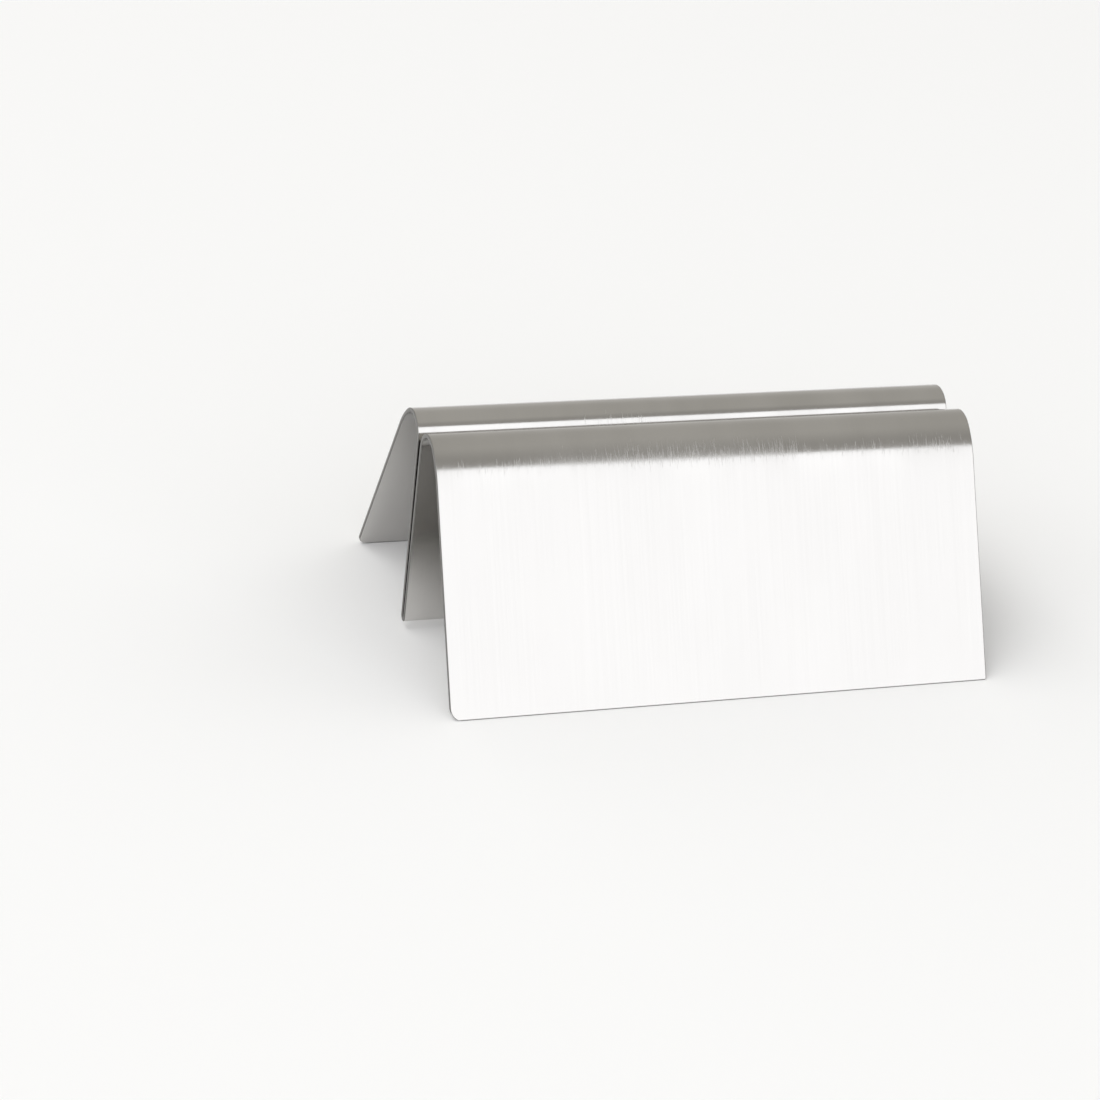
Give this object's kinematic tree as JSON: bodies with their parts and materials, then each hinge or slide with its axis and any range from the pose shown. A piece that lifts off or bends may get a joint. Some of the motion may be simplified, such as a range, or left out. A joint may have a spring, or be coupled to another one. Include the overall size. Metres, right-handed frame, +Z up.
{
  "type": "menu holder",
  "caption": "Springy folded stainless strip of M section that stands on a table and grips a menu or card upright in the slot between its rounded ridges.",
  "frame": {"origin": "middle of the footprint, on the table that the feet stand on", "axes": "+X along the ridges, the pictured front panel at -Y, +Z up"},
  "size_m": [0.07, 0.0444, 0.0283],
  "materials": {
    "brushed_stainless": "satin brushed, with the grain running over the ridges and down the legs"
  },
  "bodies": {
    "rear_jaw": {"rear_jaw": "brushed_stainless", "rear_ridge": "brushed_stainless", "base_fold": "brushed_stainless"},
    "front_jaw": {"front_jaw": "brushed_stainless", "front_ridge": "brushed_stainless"},
    "front_leg": {"front_leg": "brushed_stainless"},
    "rear_leg": {"rear_leg": "brushed_stainless"}
  },
  "joints": [
    {"name": "slot_flex", "type": "hinge", "parent": "rear_jaw", "child": "front_jaw", "pos_m": [0, 0, 0.0017], "axis": [1, 0, 0], "range_deg": [-1, 4], "stiffness_Nm_per_rad": 8.8},
    {"name": "front_leg_flex", "type": "hinge", "parent": "front_jaw", "child": "front_leg", "pos_m": [0, -0.00436, 0.02679], "axis": [-1, 0, 0], "range_deg": [-4, 3], "stiffness_Nm_per_rad": 7},
    {"name": "rear_leg_flex", "type": "hinge", "parent": "rear_jaw", "child": "rear_leg", "pos_m": [0, 0.00436, 0.02679], "axis": [1, 0, 0], "range_deg": [-4, 3], "stiffness_Nm_per_rad": 7}
  ]
}
